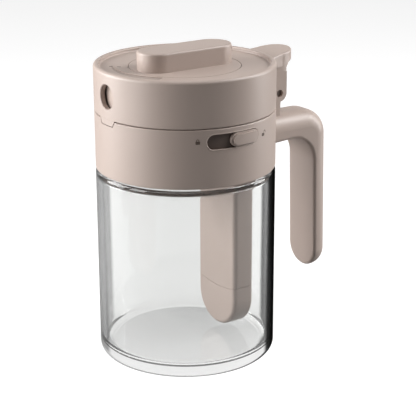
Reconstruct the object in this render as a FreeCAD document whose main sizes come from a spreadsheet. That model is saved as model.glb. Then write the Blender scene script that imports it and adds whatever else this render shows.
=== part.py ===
"""Seasoning jar: a clear glass jar with a screwed-on plastic collar and strap handle, a hinged lid
with a thumb lever and a turning dial, a lock slider in the collar, and a column that hangs inside.

Frame: millimetres, +Z up, origin on the jar's axis at its base. The handle points along +X, the
pour hole along -X, and the lock slider faces -Y.
"""
import FreeCAD, Part

import math
import os

import Sketcher

V = FreeCAD.Vector
doc = FreeCAD.newDocument("SeasoningJar")

# ---------------------------------------------------------------- driving dimensions
SIZES = (
    # glass jar
    ("jar_radius", 44.0, "outside of the glass and of the plastic head"),
    ("glass_wall", 3.0, "wall of the jar"),
    ("base_thick", 4.8, "floor of the jar above the table"),
    ("heel_round", 4.0, "outer heel of the jar"),
    ("floor_round", 4.5, "inner corner of the floor"),
    ("body_height", 95.8, "height of the glass shoulder"),
    ("shoulder_round", 2.4, "outer shoulder"),
    ("neck_step", 4.6, "neck's outside inside the outside of the glass"),
    ("neck_height", 16.2, "neck above the shoulder"),
    ("shoulder_fall", 3.6, "height in which the bore opens to the full width"),
    ("lip_round", 0.8, "rounded lip of the neck"),
    # collar
    ("seam_rise", 28.7, "seam between collar and lid, above the glass shoulder"),
    ("seam_gap", 0.35, "dark gap of the seam"),
    ("collar_wall", 2.8, "wall of the collar above the neck"),
    ("neck_fit", 0.3, "gap between collar and neck"),
    ("edge_round", 0.5, "moulded edges of the head"),
    # lock slot and slider
    ("slot_length", 28.8, "lock slot, along the collar"),
    ("slot_height", 7.4, "lock slot, up the collar"),
    ("slot_rise", 22.3, "slot's middle above the glass shoulder"),
    ("slot_depth", 1.4, "recess of the slot"),
    ("slot_turn", -1.6, "slot's middle from the -Y side, degrees"),
    ("slider_length", 16.4, "slider, along the collar"),
    ("slider_rise", 0.3, "slider's step above the collar"),
    ("button_rise", 1.0, "slider's button above the collar"),
    ("button_inset", 0.9, "button's edge inside the step"),
    ("slider_fit", 0.3, "gap round the slider"),
    # handle
    ("handle_width", 21.8, "width of the handle"),
    ("grip_thick", 10.0, "thickness of the grip at the crest of its outer face"),
    ("grip_stand", 37.9, "crest of the grip from the outside of the glass, at its top"),
    ("grip_lean", 1.8, "how far the grip leans out towards its end"),
    ("grip_end", 27.2, "height of the grip's lower end"),
    ("arm_rise", 18.4, "crest of the handle's arm above the glass shoulder"),
    ("arm_clear", 6.2, "underside of the arm above the glass shoulder"),
    ("arm_drop", 1.6, "how much lower the underside is at the collar"),
    ("corner_outer", 13.6, "outer corner of the handle"),
    ("corner_inner", 13.5, "inner corner of the handle"),
    ("grip_flank", 0.4, "flat flank of the grip between its inner and outer rounding"),
    ("handle_round", 1.6, "rounding of the handle's inner edges"),
    # hinge
    ("pin_clear", 1.2, "knuckles' distance from the outside of the glass"),
    ("pin_rise", 1.7, "hinge axis above the seam"),
    ("pin_radius", 1.9, "hinge pin"),
    ("pin_fit", 0.05, "running clearance of the pin in the lid's ears"),
    ("knuckle_radius", 4.2, "rounded ends of lug and ears"),
    ("lug_width", 12.6, "lug on the collar, between the ears"),
    ("lug_gap", 0.35, "gap between the lug and the lid"),
    ("ear_width", 21.4, "outside of the two ears"),
    ("pin_recess", 1.3, "pin's ends inside the ears' faces"),
    ("lug_taper", 0.8, "how much the lug narrows towards its foot"),
    ("lug_sink", 3.0, "lug's root inside the arm"),
    # lid
    ("lid_height", 22.5, "lid's rim above the seam"),
    ("lid_wall", 2.4, "wall of the lid"),
    ("rim_round", 1.5, "outer edge of the rim"),
    ("rim_lip", 0.7, "inner edge of the rim"),
    ("recess_depth", 2.0, "lid's floor below the rim"),
    ("floor_thick", 2.2, "lid's floor"),
    ("hole_radius", 5.85, "pour hole"),
    ("hole_rise", 10.9, "pour hole's middle above the seam"),
    ("hole_edge", 0.3, "bevel of the pour hole"),
    ("lip_drop", 2.4, "lip under the pour hole, below the seam"),
    ("lip_foot", 9.4, "lip's width at its foot"),
    ("lip_root", 12.8, "lip's width at the seam"),
    # thumb lever
    ("thumb_reach", 12.1, "tip of the thumb rest beyond the hinge axis"),
    ("thumb_tip_radius", 10.7, "rounded tip of the thumb rest"),
    ("thumb_root_width", 24.4, "thumb rest's width at the lid"),
    ("thumb_drop", 2.0, "top of the thumb rest at the lid, below the rim"),
    ("thumb_rise", 2.7, "rise of the thumb rest towards its tip"),
    ("thumb_thick", 4.4, "thickness of the thumb rest"),
    ("thumb_flare", 1.6, "flare from the ears into the thumb rest"),
    ("thumb_round", 0.8, "rounded edges of the thumb rest"),
    # dial and shutter
    ("dial_radius", 27.0, "dial in the lid's floor"),
    ("dial_gap", 0.35, "gap round the dial"),
    ("knob_length", 50.6, "bar knob"),
    ("knob_width", 19.0, "bar knob"),
    ("knob_height", 9.2, "bar knob above the floor"),
    ("knob_round", 1.1, "top edge of the knob"),
    ("drum_gap", 1.0, "gap between the shutter drum and the lid's wall"),
    ("drum_wall", 1.6, "wall of the shutter drum"),
    ("drum_rise", 1.9, "lower edge of the shutter drum above the seam"),
    ("drum_turn", 60.0, "window's distance from the pour hole, degrees"),
    ("drum_window", 6.2, "radius of the drum's window"),
    # mouth plate and column
    ("plate_thick", 2.6, "plate over the jar's mouth"),
    ("plate_fit", 0.2, "gap round the plate"),
    ("mouth_rim", 6.5, "plate left between the filling mouth and its edge"),
    ("mouth_shift", 12.0, "mouth's middle towards the front"),
    ("column_stand", 13.4, "column's back face inside the outside of the glass"),
    ("column_thick", 12.4, "column, front to back"),
    ("column_width", 31.8, "column, side to side"),
    ("column_foot", 7.2, "height of the column's lower end"),
    ("column_round", 2.2, "rounded edges of the column"),
    ("cap_height", 21.2, "column's lower cap, at its middle"),
    ("cap_sag", 2.0, "how much higher the cap's seam is at its sides"),
    ("cap_gap", 0.15, "seam of the cap"),
    ("joint_lap", 1.0, "how far a moulded-on piece runs into its carrier"),
)

# places that follow from the dimensions above, so that the head keeps to the glass it sits on
PLACES = (
    ("neck_radius", "jar_radius - neck_step", "outside of the neck"),
    ("seam_height", "body_height + seam_rise", "seam between collar and lid"),
    ("slot_middle", "body_height + slot_rise", "height of the slot's middle"),
    ("grip_reach", "jar_radius + grip_stand", "crest of the grip's outer face, at its top"),
    ("arm_top", "body_height + arm_rise", "crest of the handle's arm"),
    ("handle_dome", "grip_thick - handle_round - grip_flank", "rounding of the handle's outer edges"),
    ("arm_under", "body_height + arm_clear", "underside of the arm"),
    ("pin_reach", "jar_radius + pin_clear + knuckle_radius", "hinge axis from the jar's axis"),
    ("pin_height", "seam_height + pin_rise", "height of the hinge axis"),
    ("rim_height", "seam_height + lid_height", "top of the lid's rim"),
    ("hole_height", "seam_height + hole_rise", "height of the pour hole"),
    ("thumb_tip", "pin_reach + thumb_reach", "tip of the thumb rest from the jar's axis"),
    ("thumb_root_top", "rim_height - thumb_drop", "top of the thumb rest at the lid"),
    ("drum_radius", "jar_radius - lid_wall - drum_gap", "outside of the shutter drum"),
    ("drum_foot", "seam_height + drum_rise", "lower edge of the shutter drum"),
    ("plate_radius", "jar_radius - collar_wall - plate_fit", "mouth plate"),
    ("mouth_radius", "plate_radius - mouth_rim - mouth_shift", "filling mouth in the plate"),
    ("column_front", "jar_radius - column_stand - column_thick", "column's front face"),
)

sheet = doc.addObject("Spreadsheet::Sheet", "Sizes")
CELLS = [(alias, str(value), meaning) for alias, value, meaning in SIZES]
CELLS += [(alias, f"={formula}", meaning) for alias, formula, meaning in PLACES]
for row, (alias, content, meaning) in enumerate(CELLS, start=1):
    sheet.set(f"A{row}", meaning)
    sheet.setAlias(f"B{row}", alias)
    sheet.set(f"B{row}", content)
doc.recompute()

ALIASES = {alias for alias, _, _ in CELLS}


def bound(formula):
    """A formula in the sheet's aliases, written out as an expression of the document."""
    words = []
    word = ""
    for sign in formula + " ":
        if sign.isalnum() or sign == "_":
            word += sign
            continue
        words.append(f"Sizes.{word}" if word in ALIASES else word)
        words.append(sign)
        word = ""
    return "".join(words).strip()


def size(formula):
    """The number that a formula in the sheet's aliases gives."""
    found = sheet.evalExpression(bound(formula))
    return float(getattr(found, "Value", found))


def bind(thing, **formulas):
    """Bind properties, such as Length="glass_wall * 2", to the sheet."""
    for name, formula in formulas.items():
        thing.setExpression(name.replace("__", "."), bound(formula))


# ---------------------------------------------------------------- sketches and features
def new_body(name):
    return doc.addObject("PartDesign::Body", name)


def new_sketch(body, plane, offset="0"):
    """A sketch on one of the body's origin planes, moved along the plane's normal by a formula."""
    sketch = body.newObject("Sketcher::SketchObject", f"{body.Name}_outline")
    planes = {feature.Role: feature for feature in body.Origin.OriginFeatures}
    sketch.AttachmentSupport = [(planes[plane], "")]
    sketch.MapMode = "FlatFace"
    bind(sketch, AttachmentOffset__Base__z=offset)
    return sketch


def pin_point(sketch, edge, end, across, up):
    """Hold one end of a sketch edge at two formulas, measured from the sketch's origin."""
    for kind, formula, axis in (("DistanceX", across, -2), ("DistanceY", up, -1)):
        if formula == "0":
            sketch.addConstraint(Sketcher.Constraint("PointOnObject", edge, end, axis))
            continue
        held = sketch.addConstraint(Sketcher.Constraint(kind, -1, 1, edge, end, size(formula)))
        sketch.setExpression(f"Constraints[{held}]", bound(formula))


def draw_outline(sketch, corners):
    """A closed outline through the corners, each (across, up) in formulas of the sheet.

    A third entry bends the side that leaves the corner into an arc of that radius, which turns to
    the left of the way travelled; a fourth entry "right" makes it turn to the right.
    """
    places = [(size(corner[0]), size(corner[1])) for corner in corners]
    edges = []
    for number, corner in enumerate(corners):
        start = V(*places[number], 0)
        end = V(*places[(number + 1) % len(corners)], 0)
        if len(corner) == 2:
            edge = sketch.addGeometry(Part.LineSegment(start, end), False)
            edges.append((edge, 1, 2))
            continue
        radius = size(corner[2])
        left = len(corner) == 3
        chord = end - start
        rise = math.sqrt(max(radius ** 2 - (chord.Length / 2) ** 2, 0.0))
        side = V(-chord.y, chord.x, 0).normalize() * (rise if left else -rise)
        centre = start + chord * 0.5 + side
        first, last = (start, end) if left else (end, start)
        begin = math.atan2(first.y - centre.y, first.x - centre.x)
        finish = math.atan2(last.y - centre.y, last.x - centre.x)
        if finish <= begin:
            finish += 2 * math.pi
        circle = Part.Circle(centre, V(0, 0, 1), radius)
        edge = sketch.addGeometry(Part.ArcOfCircle(circle, begin, finish), False)
        edges.append((edge, 1, 2) if left else (edge, 2, 1))
    for number, (edge, start, end) in enumerate(edges):
        following = edges[(number + 1) % len(edges)]
        sketch.addConstraint(Sketcher.Constraint("Coincident", edge, end, following[0], following[1]))
        pin_point(sketch, edge, start, corners[number][0], corners[number][1])
        if len(corners[number]) > 2:
            held = sketch.addConstraint(Sketcher.Constraint("Radius", edge, size(corners[number][2])))
            sketch.setExpression(f"Constraints[{held}]", bound(corners[number][2]))


def draw_circle(sketch, across, up, radius):
    """A circle about a point given in formulas."""
    circle = Part.Circle(V(size(across), size(up), 0), V(0, 0, 1), size(radius))
    edge = sketch.addGeometry(circle, False)
    pin_point(sketch, edge, 3, across, up)
    held = sketch.addConstraint(Sketcher.Constraint("Radius", edge, size(radius)))
    sketch.setExpression(f"Constraints[{held}]", bound(radius))


def draw_stadium(sketch, across, up, length, width):
    """A straight slot outline: two straight sides and two half-round ends."""
    left, right = f"({across}) - ({length} - {width}) / 2", f"({across}) + ({length} - {width}) / 2"
    low, high = f"({up}) - {width} / 2", f"({up}) + {width} / 2"
    round_end = f"{width} / 2"
    draw_outline(sketch, [
        (left, low),
        (right, low, round_end),
        (f"{right} + {round_end}", up, round_end),
        (right, high),
        (left, high, round_end),
        (f"{left} - {round_end}", up, round_end),
    ])


def pad(body, sketch, length, middle=False, backwards=False):
    """Extrude a sketch by a formula, to one side of its plane or evenly about it."""
    feature = body.newObject("PartDesign::Pad", f"{body.Name}_pad")
    feature.Profile = sketch
    feature.Midplane = middle
    feature.Reversed = backwards
    bind(feature, Length=length)
    doc.recompute()
    return feature


def pocket(body, sketch, length, middle=False, backwards=False):
    """Cut a sketch out of the body."""
    feature = body.newObject("PartDesign::Pocket", f"{body.Name}_pocket")
    feature.Profile = sketch
    feature.Midplane = middle
    feature.Reversed = backwards
    bind(feature, Length=length)
    doc.recompute()
    return feature


def revolve(body, sketch):
    """Turn a half section about the jar's axis."""
    feature = body.newObject("PartDesign::Revolution", f"{body.Name}_turned")
    feature.Profile = sketch
    feature.ReferenceAxis = (sketch, ["V_Axis"])
    feature.Angle = 360.0
    doc.recompute()
    return feature


def soften(body, kind, formula, wanted):
    """Round ("Fillet") or bevel ("Chamfer") the edges of the body that the test picks."""
    base = body.Tip
    names = [f"Edge{number}" for number, edge in enumerate(base.Shape.Edges, start=1) if wanted(edge)]
    if not names:
        raise RuntimeError(f"{body.Name}: no edge to soften")
    feature = body.newObject(f"PartDesign::{kind}", f"{body.Name}_{kind.lower()}")
    feature.Base = (base, names)
    bind(feature, **{"Radius" if kind == "Fillet" else "Size": formula})
    doc.recompute()
    return feature


def fused(name, pieces):
    feature = doc.addObject("Part::MultiFuse", name)
    feature.Shapes = pieces
    feature.Refine = True
    doc.recompute()
    return feature


def common(name, pieces):
    feature = doc.addObject("Part::MultiCommon", name)
    feature.Shapes = pieces
    doc.recompute()
    return feature


def cut(name, base, tool):
    feature = doc.addObject("Part::Cut", name)
    feature.Base = base
    feature.Tool = tool
    doc.recompute()
    return feature


def tube(name, inner, outer, foot, height):
    """A plain ring about the jar's axis, as a body."""
    body = new_body(name)
    sketch = new_sketch(body, "XY_Plane", foot)
    draw_circle(sketch, "0", "0", outer)
    draw_circle(sketch, "0", "0", inner)
    pad(body, sketch, height)
    return body


def near(found, wanted, slack=0.01):
    return abs(found - wanted) < slack


def runs_along(edge, axis):
    """True for a straight edge parallel to an axis vector."""
    if edge.Curve.TypeId != "Part::GeomLine":
        return False
    return near(abs(edge.tangentAt(edge.FirstParameter).dot(axis)), 1.0)


# ---------------------------------------------------------------- sub-parts
def make_glass_jar():
    """The clear jar: thick base, rounded heel, straight wall, shoulder and neck, turned whole."""
    body = new_body("GlassJar")
    sketch = new_sketch(body, "XZ_Plane")
    bore = "(jar_radius - glass_wall)"
    throat = "(neck_radius - glass_wall)"
    lip_top = "body_height + neck_height"
    draw_outline(sketch, [
        ("0", "0"),
        ("jar_radius - heel_round", "0", "heel_round"),
        ("jar_radius", "heel_round"),
        ("jar_radius", "body_height - shoulder_round", "shoulder_round"),
        ("jar_radius - shoulder_round", "body_height"),
        ("neck_radius", "body_height"),
        ("neck_radius", f"{lip_top} - lip_round", "lip_round"),
        ("neck_radius - lip_round", lip_top),
        (f"{throat} + lip_round", lip_top, "lip_round"),
        (throat, f"{lip_top} - lip_round"),
        (throat, "body_height - glass_wall / 2"),
        (bore, "body_height - shoulder_fall"),
        (bore, "base_thick + floor_round", "floor_round", "right"),
        (f"{bore} - floor_round", "base_thick"),
        ("0", "base_thick"),
    ])
    revolve(body, sketch)
    soften(body, "Fillet", "glass_wall / 2", lambda edge: (
        edge.Curve.TypeId == "Part::GeomCircle"
        and any(near(edge.Curve.Radius, size(bend[0])) and near(edge.Curve.Center.z, size(bend[1]))
                for bend in ((throat, "body_height - glass_wall / 2"),
                             (bore, "body_height - shoulder_fall")))))
    return body


def make_collar():
    """Collar ring with the lock slot and the lip's notch, the strap handle and the hinge lug."""
    ring = new_body("CollarRing")
    sketch = new_sketch(ring, "XZ_Plane")
    seat = "body_height + neck_height"
    top = "seam_height - seam_gap / 2"
    foot = "body_height + seam_gap / 2"
    neck_bore = "neck_radius + neck_fit"
    upper_bore = "jar_radius - collar_wall"
    draw_outline(sketch, [
        (neck_bore, foot),
        ("jar_radius - edge_round", foot, "edge_round"),
        ("jar_radius", f"{foot} + edge_round"),
        ("jar_radius", f"{top} - edge_round", "edge_round"),
        ("jar_radius - edge_round", top),
        (upper_bore, top),
        (upper_bore, seat),
        (neck_bore, seat),
    ])
    revolve(ring, sketch)

    whole = fused("CollarBlank", [ring, make_handle(), make_hinge_lug()])
    tools = fused("CollarTools", [
        make_slot_piece("SlotTool", "slot_length", "slot_height", "jar_radius - slot_depth",
                        "jar_radius + slot_depth", "slot_turn"),
        make_spout_lip("NotchTool", "seam_gap", "jar_radius - collar_wall - lug_gap",
                       "jar_radius + joint_lap"),
    ])
    return cut("Collar", whole, tools)


def make_handle():
    """Handle: a deep arm from the collar turns down into a grip with a flat inner face, a domed outer
    face and a rounded end."""
    body = new_body("Handle")
    sketch = new_sketch(body, "XZ_Plane")
    root = "jar_radius - collar_wall / 2"
    inner_reach = "grip_reach - grip_thick"
    draw_outline(sketch, [
        (root, "arm_under - arm_drop"),
        (inner_reach, "arm_under"),
        (f"{inner_reach} + grip_lean", "grip_end"),
        ("grip_reach + grip_lean", "grip_end"),
        ("grip_reach", "arm_top"),
        (root, "arm_top"),
    ])
    pad(body, sketch, "handle_width", middle=True)
    across = V(0, 1, 0)
    soften(body, "Fillet", "corner_outer", lambda edge: (
        runs_along(edge, across) and near(edge.CenterOfMass.x, size("grip_reach"))
        and near(edge.CenterOfMass.z, size("arm_top"))))
    soften(body, "Fillet", "corner_inner", lambda edge: (
        runs_along(edge, across) and near(edge.CenterOfMass.x, size(inner_reach))
        and near(edge.CenterOfMass.z, size("arm_under"))))
    half = size("handle_width / 2")
    low = size("grip_end")
    soften(body, "Fillet", "handle_width / 2 - joint_lap / 10", lambda edge: (
        runs_along(edge, V(1, 0, 0)) and near(edge.CenterOfMass.z, low)
        and near(abs(edge.CenterOfMass.y), half)))
    inside = size(root)
    crest = size("grip_reach - grip_thick / 2")
    middle = size("(arm_under + arm_top) / 2")

    def long_edge(edge, outer):
        place = edge.CenterOfMass
        return (place.x > inside + 0.1 and near(abs(place.y), half) and not runs_along(edge, across)
                and (place.x > crest or place.z > middle) == outer)

    soften(body, "Fillet", "handle_round", lambda edge: long_edge(edge, False))
    soften(body, "Fillet", "handle_dome", lambda edge: long_edge(edge, True))
    return body


def make_hinge_lug():
    """Lug on the collar above the handle's arm, which carries the hinge pin between the ears."""
    body = new_body("HingeLug")
    sketch = new_sketch(body, "XZ_Plane")
    top = "seam_height - seam_gap / 2"
    draw_outline(sketch, [
        ("jar_radius - joint_lap", "arm_top - lug_sink"),
        ("pin_reach + knuckle_radius - lug_taper", "arm_top - lug_sink"),
        ("pin_reach + knuckle_radius", "pin_height", "knuckle_radius"),
        ("pin_reach", "pin_height + knuckle_radius", "knuckle_radius"),
        ("pin_reach - knuckle_radius", "pin_height"),
        ("pin_reach - knuckle_radius", top),
        ("jar_radius - joint_lap", top),
    ])
    pad(body, sketch, "lug_width", middle=True)
    bore = new_sketch(body, "XZ_Plane")
    draw_circle(bore, "pin_reach", "pin_height", "pin_radius")
    pocket(body, bore, "2 * lug_width", middle=True)
    return body


def make_slot_piece(name, length, height, inner, outer, turn):
    """A stadium wrapped round the collar: drawn flat on the -Y side, kept between two radii."""
    body = new_body(f"{name}Flat")
    sketch = new_sketch(body, "XZ_Plane", "jar_radius / 2")
    draw_stadium(sketch, "0", "slot_middle", length, height)
    pad(body, sketch, "jar_radius")
    shell = tube(f"{name}Shell", inner, outer, f"slot_middle - {height}", f"2 * {height}")
    piece = common(name, [body, shell])
    bind(piece, Placement__Rotation__Angle=turn)
    return piece


def make_lock_slider():
    """Slider in the slot, at its handle end: a low step with a smaller raised button."""
    travel = "(slot_length - slider_length) / 2 - slider_fit"
    turn = f"slot_turn + ({travel}) / jar_radius * 180 / pi"
    height = "slot_height - 2 * slider_fit"
    floor = "jar_radius - slot_depth + slider_fit"
    step = make_slot_piece("SliderStep", "slider_length", f"({height})", floor,
                           "jar_radius + slider_rise", turn)
    button = make_slot_piece("SliderButton", "(slider_length - 2 * button_inset)",
                             f"({height} - 2 * button_inset)", floor, "jar_radius + button_rise", turn)
    return fused("LockSlider", [step, button])


def make_spout_lip(name, gap, inner, outer):
    """Lip under the pour hole, narrower at its foot; widened by a gap it is the collar's notch."""
    body = new_body(f"{name}Flat")
    sketch = new_sketch(body, "YZ_Plane", "0")
    foot = f"seam_height - lip_drop - {gap}"
    draw_outline(sketch, [
        (f"-lip_foot / 2 - {gap}", foot),
        (f"lip_foot / 2 + {gap}", foot),
        (f"lip_root / 2 + {gap}", "seam_height + edge_round"),
        (f"-lip_root / 2 - {gap}", "seam_height + edge_round"),
    ])
    pad(body, sketch, "2 * jar_radius", backwards=True)
    shell = tube(f"{name}Shell", inner, outer, "seam_height - 2 * lip_drop", "3 * lip_drop")
    return common(name, [body, shell])


def make_lid():
    """Lid: turned shell with a raised rim and the dial's opening, pour hole, lip and thumb lever."""
    shell = new_body("LidShell")
    sketch = new_sketch(shell, "XZ_Plane")
    foot = "seam_height + seam_gap / 2"
    bore = "jar_radius - lid_wall"
    floor = "rim_height - recess_depth"
    inner_rim = "jar_radius - lid_wall - rim_lip / 2"
    opening = "dial_radius + dial_gap"
    draw_outline(sketch, [
        (bore, foot),
        ("jar_radius - edge_round", foot, "edge_round"),
        ("jar_radius", f"{foot} + edge_round"),
        ("jar_radius", "rim_height - rim_round", "rim_round"),
        ("jar_radius - rim_round", "rim_height"),
        (f"{inner_rim} + rim_lip", "rim_height", "rim_lip"),
        (inner_rim, "rim_height - rim_lip"),
        (inner_rim, f"{floor} + rim_lip", "rim_lip", "right"),
        (f"{inner_rim} - rim_lip", floor),
        (opening, floor),
        (opening, f"{floor} - floor_thick"),
        (bore, f"{floor} - floor_thick"),
    ])
    revolve(shell, sketch)
    hole = new_sketch(shell, "YZ_Plane", "-jar_radius / 2")
    draw_circle(hole, "0", "hole_height", "hole_radius")
    pocket(shell, hole, "jar_radius")
    outside = size("jar_radius")
    soften(shell, "Chamfer", "hole_edge", lambda edge: (
        edge.BoundBox.XMax < -outside * 0.9 and near(edge.BoundBox.ZLength, size("2 * hole_radius"), 0.05)
        and near(edge.BoundBox.XMin, -outside, 0.05)))
    lip = make_spout_lip("SpoutLip", "0", bore, "jar_radius")
    return fused("Lid", [shell, lip, make_thumb_lever()])


def make_thumb_lever():
    """Thumb rest behind the lid's rim, on a block that ends in two ears round the hinge lug."""
    body = new_body("ThumbLever")
    sketch = new_sketch(body, "XZ_Plane")
    root = "jar_radius - lid_wall / 2"
    front = "pin_reach + knuckle_radius"
    tip_top = "thumb_root_top + thumb_rise"
    draw_outline(sketch, [
        (root, "seam_height + 2 * edge_round"),
        ("pin_reach - knuckle_radius", "seam_height + 2 * edge_round"),
        ("pin_reach - knuckle_radius", "pin_height", "knuckle_radius"),
        ("pin_reach", "pin_height - knuckle_radius", "knuckle_radius"),
        (front, "pin_height"),
        (front, "thumb_root_top - thumb_thick - thumb_flare"),
        (f"{front} + thumb_flare", "thumb_root_top - thumb_thick + thumb_rise / 4"),
        ("thumb_tip", f"{tip_top} - thumb_thick"),
        ("thumb_tip", tip_top),
        (root, "thumb_root_top"),
    ])
    pad(body, sketch, "thumb_root_width", middle=True)

    # the rest narrows to a round tip, seen from above
    taper = new_sketch(body, "XY_Plane", "thumb_root_top + 2 * thumb_rise")
    beyond = "thumb_tip + joint_lap"
    wide = "thumb_root_width / 2"
    turn = "thumb_tip - thumb_tip_radius"
    draw_outline(taper, [
        ("jar_radius", f"-({wide} + joint_lap)"),
        ("jar_radius", f"-({wide})"),
        (turn, "-thumb_tip_radius", "thumb_tip_radius"),
        ("thumb_tip", "0", "thumb_tip_radius"),
        (turn, "thumb_tip_radius"),
        ("jar_radius", wide),
        ("jar_radius", f"{wide} + joint_lap"),
        (beyond, f"{wide} + joint_lap"),
        (beyond, f"-({wide} + joint_lap)"),
    ])
    pocket(body, taper, "3 * thumb_thick")
    top = size("thumb_root_top")
    soften(body, "Fillet", "thumb_round",
           lambda edge: edge.CenterOfMass.z > top and abs(edge.CenterOfMass.y) > 1)

    # the block below it is as wide as the two ears
    cheeks = new_sketch(body, "YZ_Plane", "0")
    shoulder = "thumb_root_top - thumb_thick - thumb_flare / 2"
    for side in ("", "-"):
        draw_outline(cheeks, [
            (f"{side}ear_width / 2", "pin_height - 2 * knuckle_radius"),
            (f"{side}ear_width", "pin_height - 2 * knuckle_radius"),
            (f"{side}ear_width", shoulder),
            (f"{side}(ear_width / 2)", shoulder),
        ])
    pocket(body, cheeks, "2 * jar_radius", backwards=True)

    # room for the lug between the ears, and the pin's bore
    room = new_sketch(body, "XZ_Plane")
    clear = "knuckle_radius + 2 * lug_gap"
    draw_outline(room, [
        ("jar_radius + lug_gap", "pin_height - 2 * knuckle_radius"),
        ("thumb_tip", "pin_height - 2 * knuckle_radius"),
        ("thumb_tip", "pin_height"),
        (f"pin_reach + {clear}", "pin_height", clear),
        ("pin_reach", f"pin_height + {clear}", clear),
        (f"pin_reach - ({clear})", "pin_height"),
        ("jar_radius + lug_gap", "pin_height"),
    ])
    pocket(body, room, "lug_width + 2 * lug_gap", middle=True)
    bore = new_sketch(body, "XZ_Plane")
    draw_circle(bore, "pin_reach", "pin_height", "pin_radius + pin_fit")
    pocket(body, bore, "2 * ear_width", middle=True)
    return body


def make_hinge_pin():
    """Pin through lug and ears, its ends recessed in the ears' faces."""
    pin = doc.addObject("Part::Cylinder", "HingePin")
    bind(pin, Radius="pin_radius", Height="ear_width - 2 * pin_recess")
    pin.Placement.Rotation = FreeCAD.Rotation(V(1, 0, 0), -90)
    bind(pin, Placement__Base__x="pin_reach", Placement__Base__z="pin_height",
         Placement__Base__y="pin_recess - ear_width / 2")
    return pin


def make_dial():
    """Dial disc, flush with the lid's floor, with the bar knob across it."""
    body = new_body("Dial")
    disc = new_sketch(body, "XY_Plane", "rim_height - recess_depth - floor_thick - dial_gap")
    draw_circle(disc, "0", "0", "dial_radius")
    pad(body, disc, "floor_thick + dial_gap")
    bar = new_sketch(body, "XY_Plane", "rim_height - recess_depth")
    draw_stadium(bar, "0", "0", "knob_length", "knob_width")
    pad(body, bar, "knob_height")
    top = size("rim_height - recess_depth + knob_height")
    soften(body, "Fillet", "knob_round", lambda edge: near(edge.CenterOfMass.z, top))
    return body


def make_shutter_drum():
    """Drum under the dial: its skirt closes the pour hole, and its window opens it when turned."""
    body = new_body("ShutterDrum")
    sketch = new_sketch(body, "XZ_Plane")
    top = "rim_height - recess_depth - floor_thick - dial_gap"
    draw_outline(sketch, [
        ("drum_radius - drum_wall", "drum_foot"),
        ("drum_radius", "drum_foot"),
        ("drum_radius", top),
        ("0", top),
        ("0", f"{top} - drum_wall"),
        ("drum_radius - drum_wall", f"{top} - drum_wall"),
    ])
    revolve(body, sketch)
    window = new_sketch(body, "YZ_Plane", "-drum_radius / 2")
    draw_circle(window, "0", "hole_height", "drum_window")
    pocket(body, window, "drum_radius")
    bind(body, Placement__Rotation__Angle="-drum_turn")
    return body


def make_mouth_plate():
    """Plate on the jar's lip, inside the collar, with the filling mouth towards the front."""
    body = new_body("MouthPlate")
    sketch = new_sketch(body, "XY_Plane", "body_height + neck_height")
    draw_circle(sketch, "0", "0", "plate_radius")
    draw_circle(sketch, "-mouth_shift", "0", "mouth_radius")
    pad(body, sketch, "plate_thick")
    return body


def make_column_blank(name):
    """The column's whole outer form: a flat bar with a rounded lower end."""
    body = new_body(name)
    sketch = new_sketch(body, "XY_Plane", "column_foot")
    back, front, half = "column_front + column_thick", "column_front", "column_width / 2"
    draw_outline(sketch, [(front, f"-{half}"), (back, f"-{half}"), (back, half), (front, half)])
    pad(body, sketch, "body_height + neck_height - column_foot")
    low = size("column_foot")
    soften(body, "Fillet", "column_width / 2 - joint_lap / 10", lambda edge: (
        runs_along(edge, V(1, 0, 0)) and near(edge.CenterOfMass.z, low)))
    top = size("body_height + neck_height")
    soften(body, "Fillet", "column_round", lambda edge: (
        edge.BoundBox.ZMin < top - 1 and not runs_along(edge, V(1, 0, 0))))
    return body


def make_seam_tool(name, drop):
    """Everything above the cap's seam, which dips in the middle, as a wide roller along X."""
    roller = doc.addObject("Part::Cylinder", name)
    sag = "((column_width / 2) ^ 2 + cap_sag ^ 2) / (2 * cap_sag)"
    bind(roller, Radius=sag, Height="2 * jar_radius")
    roller.Placement.Rotation = FreeCAD.Rotation(V(0, 1, 0), 90)
    bind(roller, Placement__Base__z=f"column_foot + cap_height + {drop} + {sag}")
    return roller


def make_inner_column():
    """Upper part of the column, hanging from the mouth plate."""
    return common("InnerColumn", [
        make_column_blank("ColumnUpper"), make_seam_tool("SeamAbove", "cap_gap / 2")])


def make_column_cap():
    """Lower cap of the column."""
    return cut("ColumnCap", make_column_blank("ColumnLower"),
               make_seam_tool("SeamBelow", "-cap_gap / 2"))


NODES = (
    ("glass_jar", make_glass_jar),
    ("collar", make_collar),
    ("mouth_plate", make_mouth_plate),
    ("inner_column", make_inner_column),
    ("column_cap", make_column_cap),
    ("hinge_pin", make_hinge_pin),
    ("lid", make_lid),
    ("dial", make_dial),
    ("shutter_drum", make_shutter_drum),
    ("lock_slider", make_lock_slider),
)


def main():
    made = []
    for label, make in NODES:
        piece = make()
        piece.Label = label
        made.append(piece)
    doc.recompute()
    for thing in doc.Objects:
        if {"Invalid", "Error"} & set(thing.State):
            raise RuntimeError(f"{thing.Label}: {thing.State}")
    for piece in made:
        if piece.Shape.isNull() or not piece.Shape.isValid() or len(piece.Shape.Solids) != 1:
            raise RuntimeError(f"{piece.Label}: not one valid solid")
    os.makedirs("parts", exist_ok=True)
    for piece in made:
        piece.Shape.exportStep(f"parts/{piece.Label}.step")
        box = piece.Shape.optimalBoundingBox()
        print(f"{piece.Label:14s} {piece.Shape.Volume:9.0f} mm3  x {box.XMin:7.2f} {box.XMax:7.2f}"
              f"  y {box.YMin:7.2f} {box.YMax:7.2f}  z {box.ZMin:7.2f} {box.ZMax:7.2f}")


main()
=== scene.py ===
"""Seasoning jar: a clear glass jar under a moulded head with a strap handle, a hinged lid, a dial,
a lock slider and a column that hangs inside, with its studio. Written as an add-on, run as a script.

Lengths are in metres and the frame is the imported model's: +Z up, the jar's axis on Z, its base at
the origin, the handle along +X, the pour hole along -X and the lock slider on the -Y side.
"""

import math

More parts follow.
